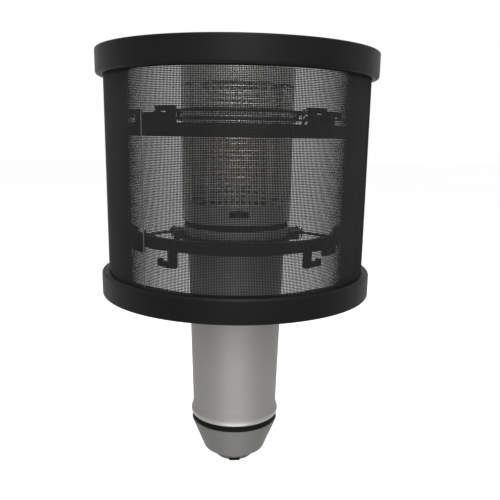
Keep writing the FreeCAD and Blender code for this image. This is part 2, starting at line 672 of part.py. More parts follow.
def head_radius(height):
    """The head's tapering outer radius, as an expression, at a height."""
    return ("(head_low_radius + (head_top_radius - head_low_radius) * (%s - head_low)"
            " / (head_top - head_low))" % height)


def body_radius(height):
    """The body tube's tapering outer radius, as an expression, at a height."""
    return ("(body_neck_radius + (body_top_radius - body_neck_radius) * (%s - body_neck)"
            " / (flange_low - body_neck))" % height)


def mic_top_cap():
    corners = [("0", "head_top - head_wall"), ("0", "head_top"), (head_radius("head_top"), "head_top"),
               (head_radius("window_top"), "window_top"),
               (head_radius("window_top") + " - head_wall", "window_top"),
               (head_radius("window_top") + " - head_wall", "head_top - head_wall")]
    body = turned("mic_top_cap", corners)
    round_off(body, "head_round", circle_at("head_top_radius", "head_top"))
    return keep(body, "mic_top_cap")


def mic_head_ribs():
    """The two solid sides of the head between its front and rear windows."""
    ribs = []
    for side in (-1, 1):
        corners = [(head_radius("window_low") + " - head_wall", "window_low"),
                   (head_radius("window_low"), "window_low"), (head_radius("window_top"), "window_top"),
                   (head_radius("window_top") + " - head_wall", "window_top")]
        rib = turned("rib_" + side_name(side), corners, "rib_span")
        rib.Placement = FreeCAD.Placement(FreeCAD.Vector(), FreeCAD.Rotation(UP, 90 - 90 * side))
        ribs.append(rib)
    return keep(group("mic_head_ribs", ribs), "mic_head_ribs")


def mic_grille(name, turn):
    """A curved wire-cloth window of the head."""
    low = head_radius("window_low") + " - grille_inset"
    high = head_radius("window_top") + " - grille_inset"
    corners = [(low + " - grille_wall", "window_low"), (low, "window_low"), (high, "window_top"),
               (high + " - grille_wall", "window_top")]
    return keep(turned(name, corners, "180 - rib_span - grille_play"), name, turn)


def mic_inner_grille():
    """The finer wire cylinder inside the windows."""
    low = "window_low + inner_grille_low"
    corners = [("inner_grille - inner_grille_wall", low), ("inner_grille", low),
               ("inner_grille", "window_top"), ("inner_grille - inner_grille_wall", "window_top")]
    return keep(turned("mic_inner_grille", corners), "mic_inner_grille")


def mic_head_collar():
    """The solid band under the windows, slotted at the front for the pattern switch."""
    low, high = head_radius("head_low"), head_radius("window_low")
    corners = [(low + " - collar_wall", "head_low"), (low, "head_low"), (high, "window_low"),
               (high + " - collar_wall", "window_low")]
    middle = FreeCAD.Vector(0, -size("head_low_radius"), size("switch_height"))
    slot = block("collar_slot", middle, "switch_slot_wide", "switch_slot_deep", "switch_slot_tall")
    return keep(cut("mic_head_collar", turned("collar_band", corners), slot), "mic_head_collar")


def pattern_switch():
    """The slide under the front window, with its tongue behind the collar's slot."""
    face = size("head_low_radius")
    height = size("switch_height")
    outer = FreeCAD.Vector(0, size("button_deep / 2 - button_out") - face, height)
    inner = FreeCAD.Vector(0, size("tongue_in + tongue_deep / 2") - face, height)
    button = block("switch_button", outer, "button_wide", "button_deep", "button_tall")
    tongue = block("switch_tongue", inner, "tongue_wide", "tongue_deep", "tongue_tall")
    return keep(fused("pattern_switch", [button, tongue]), "pattern_switch")


def capsule():
    """The round capsule: backplate, clamp rings and diaphragms, facing front and back."""
    def disc(name, near, far, radius):
        return rod(name, FreeCAD.Vector(0, near, size("capsule_height")),
                   FreeCAD.Vector(0, far, size("capsule_height")), radius)
    half = size("capsule_thick") / 2
    keep(disc("capsule_backplate", -half, half, "capsule_radius"), "capsule_backplate")
    rings = []
    films = []
    for side in (-1, 1):
        tag = side_name(side)
        face = side * (half + size("capsule_ring"))
        outer = disc("clamp_outer_" + tag, side * half, face, "capsule_radius")
        inner = disc("clamp_inner_" + tag, side * half, face, "capsule_radius - capsule_ring_wide")
        rings.append(cut("capsule_ring_" + tag, outer, inner))
        films.append(disc("film_" + tag, side * half, side * (half + size("film")),
                          "capsule_radius - capsule_ring_wide - film_play"))
    keep(group("capsule_clamp_rings", rings), "capsule_clamp_rings")
    keep(group("capsule_diaphragms", films), "capsule_diaphragms")


def capsule_saddle():
    """The post that lifts the capsule off its base plate."""
    low = "window_low + saddle_low"
    high = "capsule_height - capsule_radius + saddle_bite"
    corners = [("-saddle_foot", low), ("saddle_foot", low), ("saddle_top", high), ("-saddle_top", high)]
    body = padded("saddle_block", "XZ_Plane", corners, "saddle_thick")
    half = size("saddle_thick / 2 + past")
    round_seat = rod("saddle_seat", FreeCAD.Vector(0, -half, size("capsule_height")),
                     FreeCAD.Vector(0, half, size("capsule_height")), "capsule_radius + close_fit")
    return keep(cut("capsule_saddle", body, round_seat), "capsule_saddle")


def capsule_base_plate():
    plate = primitive("Cylinder", "capsule_base_plate", (0, 0, size("window_low + base_plate_low")),
                      Radius="inner_grille - base_plate_inset", Height="base_plate_tall")
    return keep(plate, "capsule_base_plate")


# ---------------------------------------------------------------- microphone body

def mic_ring(name, inner, outer, low, high):
    return keep(turned(name, [(inner, low), (outer, low), (outer, high), (inner, high)]), name)


def mic_body_tube():
    """The tapered tube with its flared lower lip, slotted at the back for two switches."""
    corners = [(body_radius("flange_low") + " - body_wall", "flange_low"),
               (body_radius("flange_low"), "flange_low"), ("body_neck_radius", "body_neck"),
               ("body_neck_radius + 0.35", "body_neck - 2.2"), ("lip_radius", "lip_height"),
               ("lip_radius", "lip_low"), ("body_neck_radius - body_wall - 1", "lip_low"),
               ("body_neck_radius - body_wall", "body_neck")]
    tube = round_off(turned("tube_wall", corners), "lip_edge", circle_at("lip_radius", "lip_low"))
    slots = []
    deep = size("body_neck_radius - rear_slot_in + rear_slot_deep / 2")
    for side in (-1, 1):
        middle = FreeCAD.Vector(side * size("rear_switch_shift"), deep, size("rear_switch_height"))
        slots.append(block("tube_slot_" + side_name(side), middle, "rear_slot_wide", "rear_slot_deep",
                           "rear_slot_tall"))
    return keep(cut("mic_body_tube", tube, fused("tube_slots", slots)), "mic_body_tube")


def rear_switch(name, side):
    """A small slide at the back of the body."""
    shift = size("rear_switch_shift")
    surface = math.sqrt(size(body_radius("rear_switch_height")) ** 2 - shift ** 2)
    middle = FreeCAD.Vector(side * shift, surface + size("rear_button_deep / 2 - rear_button_in"),
                            size("rear_switch_height"))
    return keep(block(name + "_button", middle, "rear_button_wide", "rear_button_deep", "rear_button_tall"),
                name)


def mic_base_cone():
    """The cone below the body, bored for the connector."""
    corners = [("shell_hidden", "oring_low"), ("cone_top_radius - cone_top_edge", "oring_low"),
               ("cone_top_radius", "oring_low - cone_top_edge"), ("cone_end_radius", "cone_low"),
               ("shell_hidden", "cone_low")]
    body = turned("mic_base_cone", corners)
    round_off(body, "cone_edge", circle_at("cone_end_radius", "cone_low"))
    return keep(body, "mic_base_cone")


def connector():
    """The connector's shell with a notched collar, its insulator and its three pins."""
    top = "collar_low + socket_deep"
    shell = [("socket_radius", "collar_low"), ("collar_radius - collar_edge", "collar_low"),
             ("collar_radius", "collar_low + collar_edge"), ("collar_radius", "cone_low - close_fit"),
             ("shell_hidden - close_fit", "cone_low - close_fit"), ("shell_hidden - close_fit", "oring_low"),
             ("socket_radius - shell_step", "oring_low"), ("socket_radius - shell_step", top),
             ("socket_radius", top)]
    notch = primitive("Box", "collar_notch", (-size("notch_wide") / 2, -size("collar_radius + past"),
                                              size("collar_low - past")),
                      Length="notch_wide", Width="collar_radius - socket_radius + 2 * past",
                      Height="notch_tall + past")
    keep(cut("connector_shell", turned("shell_wall", shell), notch), "connector_shell")
    insulator = primitive("Cylinder", "connector_insulator", (0, 0, size(top)),
                          Radius="socket_radius - shell_step - close_fit", Height="insulator_tall")
    keep(insulator, "connector_insulator")
    pins = []
    for index, azimuth in enumerate(PIN_AZIMUTHS):
        end = around(azimuth, size("pin_circle"), size("collar_low + pin_sunk"))
        pins.append(rod("connector_pin%d" % index, around(azimuth, size("pin_circle"), size(top)), end,
                        "pin_radius"))
    keep(group("connector_pins", pins), "connector_pins")


def chassis():
    """What the body tube holds: two rails, the circuit board and the output transformer."""
    rails = []
    for side in (-1, 1):
        foot = FreeCAD.Vector(side * size("rail_shift"), 0, size("oring_low"))
        head = FreeCAD.Vector(side * size("rail_shift"), 0, size("flange_low - rail_play"))
        rails.append(rod("rail_" + side_name(side), foot, head, "rail"))
    keep(group("chassis_rails", rails), "chassis_rails")
    middle = FreeCAD.Vector(0, size("board_shift"), size("board_low + board_tall / 2"))
    keep(block("circuit_board", middle, "board_wide", "board_thick", "board_tall"), "circuit_board")
    middle = FreeCAD.Vector(0, 0, size("core_low + core_tall / 2"))
    keep(block("output_transformer", middle, "core_wide", "core_deep", "core_tall"), "output_transformer")


# ---------------------------------------------------------------- build

ring("bottom_ring", True)
ring("top_ring", False)
clamp_ring("bottom_clamp_ring", "shield_low + ring_lip_thick + clamp_gap")
clamp_ring("top_clamp_ring", "shield_top - ring_lip_thick - clamp_gap - clamp_tall")
ring_screws("bottom_ring_screws", "shield_low", 1)
ring_screws("top_ring_screws", "shield_top", -1)
mesh_screen()
seam_strip()
side_post("right_post", 0)
side_post("left_post", 180)
rear_post()
hoop("upper_hoop", "upper_hoop_low", 1)
hoop("lower_hoop", "lower_hoop_low", -1)
hoop_screws()
rear_rod("upper_rear_rod", "upper_rod_height")
rear_rod("lower_rear_rod", "lower_rod_height")
upper_cords()
lower_cords()
stand_bracket()
bracket_screws()
stand_swivel()
thread_insert()
friction_washers()
tilt_knob()
pivot_nut()
cradle_upper_ring()
cradle_lower_ring()
cradle_spines()
cradle_sleeves()
mic_top_cap()
mic_head_ribs()
mic_grille("mic_front_grille", -90)
mic_grille("mic_rear_grille", 90)
mic_inner_grille()
mic_head_collar()
pattern_switch()
capsule()
capsule_saddle()
capsule_base_plate()
mic_ring("mic_head_gasket", "gasket_radius - gasket_wall", "gasket_radius", "flange_high", "head_low")
mic_ring("mic_body_flange", body_radius("flange_low") + " - body_wall", "flange_radius", "flange_low",
         "flange_high")
mic_body_tube()
rear_switch("pad_switch", -1)
rear_switch("low_cut_switch", 1)
mic_ring("mic_base_gasket", "oring_inner", "oring_radius", "oring_low", "lip_low")
mic_base_cone()
connector()
chassis()

doc.recompute()

# ---------------------------------------------------------------- check and write

for item in doc.Objects:
    if "Invalid" in item.State or "Error" in item.State:
        raise RuntimeError("%s did not build: %s" % (item.Label, item.State))
os.makedirs("parts", exist_ok=True)
for item in parts:
    shape = item.Shape
    if shape.isNull() or not shape.isValid() or not shape.Solids:
        raise RuntimeError("%s has no valid solid" % item.Label)
    shape.exportStep("parts/%s.step" % item.Label)
    print("%-24s %8.1f mm3, %d solid(s)" % (item.Label, shape.Volume, len(shape.Solids)))
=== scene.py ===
import math

import bpy
import numpy as np
from mathutils import Matrix, Vector


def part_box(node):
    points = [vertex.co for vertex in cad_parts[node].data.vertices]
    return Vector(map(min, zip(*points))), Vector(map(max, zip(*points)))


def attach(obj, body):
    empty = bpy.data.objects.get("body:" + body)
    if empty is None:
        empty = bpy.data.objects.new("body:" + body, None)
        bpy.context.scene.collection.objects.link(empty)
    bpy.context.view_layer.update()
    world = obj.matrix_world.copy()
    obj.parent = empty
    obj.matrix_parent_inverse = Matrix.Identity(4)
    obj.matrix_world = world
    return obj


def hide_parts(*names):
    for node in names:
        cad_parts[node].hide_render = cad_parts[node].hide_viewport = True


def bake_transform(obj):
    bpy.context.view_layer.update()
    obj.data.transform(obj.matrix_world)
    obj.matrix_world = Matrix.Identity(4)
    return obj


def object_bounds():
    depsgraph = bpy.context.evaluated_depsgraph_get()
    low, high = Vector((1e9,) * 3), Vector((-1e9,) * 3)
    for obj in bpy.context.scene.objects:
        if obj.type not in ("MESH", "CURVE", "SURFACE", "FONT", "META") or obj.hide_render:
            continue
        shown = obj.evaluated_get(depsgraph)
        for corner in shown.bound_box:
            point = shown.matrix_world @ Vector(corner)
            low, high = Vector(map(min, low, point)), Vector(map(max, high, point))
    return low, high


# The isolation shield's looks: separate wires for the shield and the microphone's head,
# round suspension strands, and materials for the parts that come from the frame.
# Everything is in metres, in the frame's own axes: +Z up, front facing -Y.

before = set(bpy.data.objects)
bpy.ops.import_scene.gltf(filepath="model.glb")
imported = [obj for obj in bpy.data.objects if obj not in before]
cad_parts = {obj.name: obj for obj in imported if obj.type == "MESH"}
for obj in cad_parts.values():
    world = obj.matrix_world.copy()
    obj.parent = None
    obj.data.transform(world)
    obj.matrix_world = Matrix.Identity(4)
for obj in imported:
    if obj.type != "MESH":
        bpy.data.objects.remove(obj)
cad_low, cad_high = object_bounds()

MM = 0.001


# ---------------------------------------------------------------- places from the frame

def middle(node):
    low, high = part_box(node)
    return (low + high) / 2


def half_width(node):
    low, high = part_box(node)
    return (high.x - low.x) / 2


AXIS = middle("mic_base_cone").xy
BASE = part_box("bottom_ring")[0].z
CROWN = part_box("top_ring")[1].z


def at(azimuth, radius, height):
    """A point at an azimuth from the front (degrees, towards +X), radius and absolute height."""
    angle = math.radians(azimuth)
    return Vector((AXIS.x + radius * math.sin(angle), AXIS.y - radius * math.cos(angle), height))


# ---------------------------------------------------------------- mesh helpers

def mesh_piece(name, points, faces, material):
    """A smooth-shaded object from arrays of points and equal-sided faces."""
    points = np.asarray(points, np.float32)
    faces = np.asarray(faces, np.int32)
    sides = faces.shape[1]
    mesh = bpy.data.meshes.new(name)
    mesh.vertices.add(len(points))
    mesh.vertices.foreach_set("co", points.ravel())
    mesh.loops.add(faces.size)
    mesh.loops.foreach_set("vertex_index", faces.ravel())
    mesh.polygons.add(len(faces))
    mesh.polygons.foreach_set("loop_start", np.arange(0, faces.size, sides, dtype=np.int32))
    mesh.update(calc_edges=True)
    mesh.validate()
    mesh.polygons.foreach_set("use_smooth", np.full(len(mesh.polygons), True))
    piece = bpy.data.objects.new(name, mesh)
    bpy.context.collection.objects.link(piece)
    mesh.materials.append(material)
    return piece


def tube(path, radius, sides, closed, up=(0.0, 0.0, 1.0)):
    """Points and quads of a round wire along a path; radius may vary along it."""
    path = np.asarray(path, float)
    count = len(path)
    if closed:
        along = np.roll(path, -1, axis=0) - np.roll(path, 1, axis=0)
    else:
        along = np.gradient(path, axis=0)
    along /= np.linalg.norm(along, axis=1)[:, None]
    across = np.cross(along, np.asarray(up, float))
    across /= np.linalg.norm(across, axis=1)[:, None]
    lift = np.cross(across, along)
    turn = 2 * math.pi * np.arange(sides) / sides + math.pi / sides
    radius = np.broadcast_to(np.asarray(radius, float), (count,))
    ring = (across[:, None, :] * np.cos(turn)[None, :, None]
            + lift[:, None, :] * np.sin(turn)[None, :, None])
    points = (path[:, None, :] + ring * radius[:, None, None]).reshape(-1, 3)
    rows = count if closed else count - 1
    first = np.arange(rows)[:, None] * sides
    after = ((np.arange(rows) + 1) % count)[:, None] * sides
    side = np.arange(sides)[None, :]
    beside = (side + 1) % sides
    faces = np.stack([first + side, first + beside, after + beside, after + side], axis=-1).reshape(-1, 4)
    return points, faces


def joined(tubes):
    """One set of points and faces from many."""
    points = []
    faces = []
    offset = 0
    for more_points, more_faces in tubes:
        points.append(more_points)
        faces.append(more_faces + offset)
        offset += len(more_points)
    return np.concatenate(points), np.concatenate(faces)


# ---------------------------------------------------------------- materials

def new_material(name, base, roughness, metallic=0.0, specular=0.5):
    material = bpy.data.materials.new(name)
    material.use_nodes = True
    shader = material.node_tree.nodes["Principled BSDF"]
    shader.inputs["Base Color"].default_value = (*base, 1.0)
    shader.inputs["Roughness"].default_value = roughness
    shader.inputs["Metallic"].default_value = metallic
    shader.inputs["Specular IOR Level"].default_value = specular
    return material


class Nodes:
    """Adds and links nodes in one material, fed by object coordinates."""

    def __init__(self, material):
        self.tree = material.node_tree
        self.shader = self.tree.nodes["Principled BSDF"]
        self.coordinates = self.tree.nodes.new("ShaderNodeTexCoord")

    def link(self, source, target):
        self.tree.links.new(source, target)

    def stretched(self, scale):
        mapping = self.tree.nodes.new("ShaderNodeMapping")
        mapping.inputs["Scale"].default_value = scale
        self.link(self.coordinates.outputs["Object"], mapping.inputs["Vector"])
        return mapping.outputs["Vector"]

    def noise(self, scale, detail, stretch=(1, 1, 1)):
        texture = self.tree.nodes.new("ShaderNodeTexNoise")
        texture.inputs["Scale"].default_value = scale
        texture.inputs["Detail"].default_value = detail
        self.link(self.stretched(stretch), texture.inputs["Vector"])
        return texture.outputs["Fac"]

    def ramp(self, source, stops):
        ramp = self.tree.nodes.new("ShaderNodeValToRGB")
        elements = ramp.color_ramp.elements
        while len(elements) < len(stops):
            elements.new(0.5)
        for element, (place, colour) in zip(elements, stops):
            element.position = place
            element.color = (*colour, 1.0)
        self.link(source, ramp.inputs["Fac"])
        return ramp.outputs["Color"]

    def spread(self, source, low, high):
        ranged = self.tree.nodes.new("ShaderNodeMapRange")
        ranged.inputs["To Min"].default_value = low
        ranged.inputs["To Max"].default_value = high
        self.link(source, ranged.inputs["Value"])
        return ranged.outputs["Result"]

    def bump(self, source, distance):
        bump = self.tree.nodes.new("ShaderNodeBump")
        bump.inputs["Distance"].default_value = distance
        bump.inputs["Strength"].default_value = 1.0
        self.link(source, bump.inputs["Height"])
        return bump.outputs["Normal"]


COAT_SPREAD = 0.18          # how far a coated colour drifts each way
GLOSS_SPREAD = 0.07         # how far its roughness drifts
METAL_GLOSS_SPREAD = 0.08

# Each noise as its scale, in features per metre, and its detail.
COAT_DRIFT = (38.0, 5.0)
COAT_GLOSS = (120.0, 3.0)
PEBBLE_DETAIL = 2.0
METAL_DRIFT = (26.0, 6.0)
METAL_DRIFT_STRETCH = (1, 1, 0.6)
METAL_GLOSS = (60.0, 5.0)
METAL_GRAIN = (700.0, 3.0)


def tones(base, spread):
    """Darker and lighter neighbours of a colour."""
    return tuple(c * (1 - spread) for c in base), tuple(min(1.0, c * (1 + spread)) for c in base)


def coated(name, base, roughness, grain, bump, specular=0.5):
    """Powder coat or moulded plastic: a fine pebble, slow colour drift and uneven gloss."""
    material = new_material(name, base, roughness, specular=specular)
    nodes = Nodes(material)
    dark, light = tones(base, COAT_SPREAD)
    nodes.link(nodes.ramp(nodes.noise(*COAT_DRIFT), [(0.3, dark), (0.7, light)]),
               nodes.shader.inputs["Base Color"])
    nodes.link(nodes.spread(nodes.noise(*COAT_GLOSS), roughness - GLOSS_SPREAD, roughness + GLOSS_SPREAD),
               nodes.shader.inputs["Roughness"])
    nodes.link(nodes.bump(nodes.noise(grain, PEBBLE_DETAIL), bump), nodes.shader.inputs["Normal"])
    return material


def satin_metal(name, base, roughness, streak=(1, 1, 1), bump=0.000012, spread=0.10, metallic=1.0):
    """Bead-blasted or brushed metal; streak stretches the grain one way."""
    material = new_material(name, base, roughness, metallic)
    nodes = Nodes(material)
    dark, light = tones(base, spread)
    drift = nodes.noise(*METAL_DRIFT, METAL_DRIFT_STRETCH)
    nodes.link(nodes.ramp(drift, [(0.3, dark), (0.72, light)]), nodes.shader.inputs["Base Color"])
    nodes.link(nodes.spread(nodes.noise(*METAL_GLOSS, streak),
                            roughness - METAL_GLOSS_SPREAD, roughness + METAL_GLOSS_SPREAD),
               nodes.shader.inputs["Roughness"])
    nodes.link(nodes.bump(nodes.noise(*METAL_GRAIN, streak), bump), nodes.shader.inputs["Normal"])
    return material


MATERIALS = {
    "ring": coated("ring_powder_coat", (0.0036, 0.0036, 0.0038), 0.46, 1500.0, 0.00002, specular=0.07),
    "frame": coated("frame_plastic", (0.007, 0.007, 0.0075), 0.50, 900.0, 0.00002, specular=0.2),
    "wire": coated("blackened_wire", (0.0085, 0.0085, 0.0087), 0.46, 2500.0, 0.00001, specular=0.10),
    "seam": coated("seam_wire", (0.030, 0.030, 0.031), 0.40, 2500.0, 0.00001),
    "screw": satin_metal("black_oxide", (0.05, 0.05, 0.052), 0.40, (1, 1, 1)),
    "cord": coated("elastic_braid", (0.014, 0.014, 0.015), 0.80, 3000.0, 0.00006),
    "bracket": coated("bracket_coat", (0.019, 0.019, 0.020), 0.40, 1300.0, 0.00003),
    "brass": satin_metal("machined_brass", (0.62, 0.45, 0.20), 0.30, (1, 1, 30)),
    "knob": coated("knob_plastic", (0.016, 0.016, 0.017), 0.48, 800.0, 0.00004),
    "rubber": coated("rubber", (0.003, 0.003, 0.003), 0.70, 900.0, 0.00002, specular=0.06),
    "collar": satin_metal("collar_metal", (0.085, 0.084, 0.081), 0.55, (1, 1, 30), 0.000030, 0.12, 0.7),
    "nickel": satin_metal("satin_nickel", (0.195, 0.191, 0.183), 0.60, (1, 1, 1), 0.000006, 0.03, 0.6),
    # A darker copy of the body's nickel: painted shade on the cone, which faces down.
    "cone": satin_metal("cone_nickel_painted_shade", (0.114, 0.112, 0.108), 0.60, (1, 1, 1), 0.000006, 0.03, 0.6),
    "bright": satin_metal("polished_rim", (0.72, 0.71, 0.68), 0.36, (1, 1, 12), 0.000004, 0.05),
    # A lighter copy of the body's nickel: painted light on the head, which the shield shades.
    "head": satin_metal("head_nickel_painted_light", (0.50, 0.49, 0.47), 0.50, (1, 1, 1), 0.000006, 0.03, 0.6),
    "grille": satin_metal("grille_wire", (0.90, 0.88, 0.84), 0.46),
    "inner": satin_metal("inner_wire", (0.70, 0.685, 0.65), 0.50),
    "backplate": satin_metal("capsule_brass", (0.55, 0.42, 0.20), 0.34, (1, 20, 1)),
    "film": satin_metal("gold_film", (0.83, 0.62, 0.28), 0.20, (1, 1, 1), 0.000003, 0.06),
    "board": coated("circuit_board", (0.02, 0.09, 0.035), 0.45, 600.0, 0.00003),
    "insulator": coated("black_insulator", (0.010, 0.010, 0.010), 0.40, 800.0, 0.00002),
    "pin": satin_metal("gold_pin", (0.75, 0.58, 0.28), 0.24),
    "core": satin_metal("laminated_core", (0.26, 0.26, 0.27), 0.45, (1, 60, 1), 0.00004),
}

NODE_MATERIALS = {
    "ring": ["bottom_ring", "top_ring"],
    "frame": ["bottom_clamp_ring", "top_clamp_ring", "right_post", "left_post", "rear_post", "upper_hoop",
              "lower_hoop", "upper_rear_rod", "lower_rear_rod", "cradle_upper_ring", "cradle_lower_ring",
              "cradle_spines"],
    "seam": ["mesh_seam_strip"],
    "screw": ["bottom_ring_screws", "top_ring_screws", "hoop_screws", "bracket_screws", "pivot_nut"],
    "bracket": ["stand_bracket", "stand_swivel"],
    "brass": ["thread_insert"],
    "knob": ["tilt_knob"],
    "rubber": ["friction_washers", "cradle_sleeves", "mic_head_gasket", "mic_base_gasket"],
    "nickel": ["mic_body_tube"],
    "cone": ["mic_base_cone"],
    "head": ["mic_top_cap", "mic_head_ribs", "mic_head_collar", "mic_body_flange"],
    "collar": ["connector_shell"],
    "bright": ["chassis_rails"],
    "insulator": ["pattern_switch", "pad_switch", "low_cut_switch", "capsule_saddle", "capsule_base_plate",
                  "connector_insulator"],
    "backplate": ["capsule_backplate", "capsule_clamp_rings"],
    "film": ["capsule_diaphragms"],
    "pin": ["connector_pins"],
    "board": ["circuit_board"],
    "core": ["output_transformer"],
}


def dress_cad_nodes():
    for key, names in NODE_MATERIALS.items():
        for name in names:
            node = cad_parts[name]
            node.data.materials.clear()
            node.data.materials.append(MATERIALS[key])


LIP_STARTS = 3.4 * MM       # above the tube's lower edge
LIP_IS_FULL = 1.6 * MM
# The band's lighter colour is a painted highlight; its lower roughness is the lip's real polish.
LIP_HIGHLIGHT_COLOUR = (0.30, 0.295, 0.285, 1.0)
LIP_ROUGHNESS = 0.40


def highlight_and_polish_lip():
    """A smoother band where the body tube's flared lip turns under, its base colour made lighter as a
    painted highlight.
    """
    material = MATERIALS["nickel"]
    nodes = Nodes(material)
    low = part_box("mic_body_tube")[0].z
    apart = nodes.tree.nodes.new("ShaderNodeSeparateXYZ")
    nodes.link(nodes.coordinates.outputs["Object"], apart.inputs["Vector"])
    band = nodes.tree.nodes.new("ShaderNodeMapRange")
    for name, value in (("From Min", low + LIP_STARTS), ("From Max", low + LIP_IS_FULL)):
        band.inputs[name].default_value = value
    nodes.link(apart.outputs["Z"], band.inputs["Value"])
    highlight_and_polish = (("Base Color", "RGBA", LIP_HIGHLIGHT_COLOUR), ("Roughness", "FLOAT", LIP_ROUGHNESS))
    for name, kind, band_value in highlight_and_polish:
        plain = nodes.shader.inputs[name].links[0].from_socket
        mix = nodes.tree.nodes.new("ShaderNodeMix")
        mix.data_type = kind
        factor, first, second = [socket for socket in mix.inputs if socket.enabled]
        nodes.link(band.outputs["Result"], factor)
        nodes.link(plain, first)
        second.default_value = band_value
        nodes.link(next(socket for socket in mix.outputs if socket.enabled), nodes.shader.inputs[name])


# ---------------------------------------------------------------- wire cloth

def straight_wires(radius_low, radius_high, low, high, thickness, azimuths, sides=4):
    """Upright wires at these azimuths, leaning with a taper."""
    return joined([tube([at(azimuth, radius_low, low), at(azimuth, radius_high, high)], thickness, sides,
                        False, (math.sin(math.radians(azimuth)), -math.cos(math.radians(azimuth)), 0.02))
                   for azimuth in azimuths])


def level_wires(radius_of, low, high, pitch, thickness, start, span, segments, sides=4):
    """Level wires, whole hoops or arcs, at an even pitch; radius_of gives each one's radius."""
    count = int(round((high - low) / pitch))
    closed = span >= 360
    turns = np.radians(start + span * np.arange(segments) / (segments if closed else segments - 1))
    tubes = []
    for index in range(count + 1):
        height = low + (high - low) * index / count
        radius = radius_of(height)
        path = np.stack([AXIS.x + radius * np.sin(turns), AXIS.y - radius * np.cos(turns),
                         np.full(segments, height)], axis=-1)
        tubes.append(tube(path, thickness, sides, closed))
    return joined(tubes)


SHIELD_PITCH = 0.70 * MM
SHIELD_WIRE = 0.203 * MM        # a wire's radius
SHIELD_STEPS = 66               # points along each half hoop
WIRE_SIDES = 5


def shield_cloth():
    """The shield's half cylinder: upright wires and half hoops, half sunk into each other at crossings."""
    pitch = SHIELD_PITCH
    wire = SHIELD_WIRE
    low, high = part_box("mesh_screen")
    outer = half_width("mesh_screen")
    span = 180 + 2 * math.degrees(math.asin((high.y - AXIS.y) / outer))
    radius = outer - wire
    count = int(round(math.radians(span) * radius / pitch))
    azimuths = [span * (index / count - 0.5) for index in range(count + 1)]
    upright = straight_wires(radius, radius, low.z, high.z, wire, azimuths, WIRE_SIDES)
    piece = mesh_piece("shield_upright_wires", *upright, MATERIALS["wire"])
    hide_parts("mesh_screen")
    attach(piece, "shield")
    hoops = level_wires(lambda height: radius - wire, low.z + wire, high.z - wire, pitch, wire,
                        -span / 2, span, SHIELD_STEPS, WIRE_SIDES)
    piece = mesh_piece("shield_hoop_wires", *hoops, MATERIALS["wire"])
    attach(piece, "shield")


WINDOW_PITCH = 1.15 * MM
WINDOW_WIRE = 0.20 * MM
WINDOW_SPAN = 154.0             # degrees round the head
WINDOW_UNDER_CAP = 0.25 * MM    # the cloth's top is inset this much more than its foot
WINDOW_INSET = 0.45 * MM
WINDOW_LAY = 0.9                # level wires lie this many radii inside the upright ones
WINDOW_STEPS = 44
INNER_PITCH = 0.62 * MM
INNER_WIRE = 0.11 * MM
INNER_INSET = 0.2 * MM
INNER_LAY = 0.1 * MM
INNER_STEPS = 96


def head_cloth():
    """The microphone's head: coarse outer windows and a fine inner cylinder."""
    low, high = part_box("mic_front_grille")
    cap = half_width("mic_top_cap") - WINDOW_UNDER_CAP
    collar = half_width("mic_head_collar")
    low, high = low.z, high.z

    def outer_radius(height):
        return collar + (cap - collar) * (height - low) / (high - low) - WINDOW_INSET

    wire = WINDOW_WIRE
    pitch = WINDOW_PITCH
    span = WINDOW_SPAN
    count = int(round(math.radians(span) * collar / pitch))
    for name, centre in (("mic_front_grille", 0.0), ("mic_rear_grille", 180.0)):
        azimuths = [centre - span / 2 + span * index / count for index in range(count + 1)]
        upright = straight_wires(outer_radius(low), outer_radius(high), low, high, wire, azimuths,
                                 WIRE_SIDES)
        level = level_wires(lambda height: outer_radius(height) - WINDOW_LAY * wire, low + pitch / 2,
                            high - pitch / 2, pitch, wire, centre - span / 2, span, WINDOW_STEPS,
                            WIRE_SIDES)
        piece = mesh_piece(name + "_wires", *joined([upright, level]), MATERIALS["grille"])
        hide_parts(name)
        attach(piece, "microphone")
    inner = half_width("mic_inner_grille") - INNER_INSET
    inner_low, inner_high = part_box("mic_inner_grille")
    count = int(round(2 * math.pi * inner / INNER_PITCH))
    azimuths = [360.0 * index / count for index in range(count)]
    upright = straight_wires(inner, inner, inner_low.z, inner_high.z, INNER_WIRE, azimuths)
    level = level_wires(lambda height: inner - INNER_LAY, inner_low.z, inner_high.z, INNER_PITCH,
                        INNER_WIRE, 0, 360, INNER_STEPS)
    piece = mesh_piece("mic_inner_grille_wires", *joined([upright, level]), MATERIALS["inner"])
    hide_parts("mic_inner_grille")
    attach(piece, "microphone")


KEY_SIZE = (6.2 * MM, 1.9 * MM, 2.3 * MM)
KEY_AZIMUTH = -1.0
KEY_INSET = 1.1 * MM
KEY_LIFT = 0.7 * MM
KEY_ROUNDING = 0.6 * MM


def connector_key():
    """The dark key that fills the notch in the connector's collar."""
    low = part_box("connector_shell")[0].z
    outer = half_width("connector_shell")
    bpy.ops.mesh.primitive_cube_add(size=1.0, location=at(KEY_AZIMUTH, outer - KEY_INSET, low + KEY_LIFT))
    key = bpy.context.active_object
    key.name = "connector_key"
    key.data.transform(Matrix.Diagonal((*KEY_SIZE, 1.0)))
    bevel = key.modifiers.new("round", "BEVEL")
    bevel.width = KEY_ROUNDING
    bevel.segments = 3
    key.data.materials.append(MATERIALS["rubber"])
    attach(key, "microphone")


# ---------------------------------------------------------------- suspension

def islands(node):
    """The points of each separate solid of a node."""
    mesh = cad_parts[node].data
    points = np.empty(len(mesh.vertices) * 3)
    mesh.vertices.foreach_get("co", points)
    points = points.reshape(-1, 3)
    edges = np.empty(len(mesh.edges) * 2, int)
    mesh.edges.foreach_get("vertices", edges)
    edges = edges.reshape(-1, 2)
    label = np.arange(len(points))
    while True:
        least = np.minimum(label[edges[:, 0]], label[edges[:, 1]])
        before = label.copy()
        np.minimum.at(label, edges[:, 0], least)
        np.minimum.at(label, edges[:, 1], least)
        if (label == before).all():
            break
    return [points[label == value] for value in np.unique(label)]


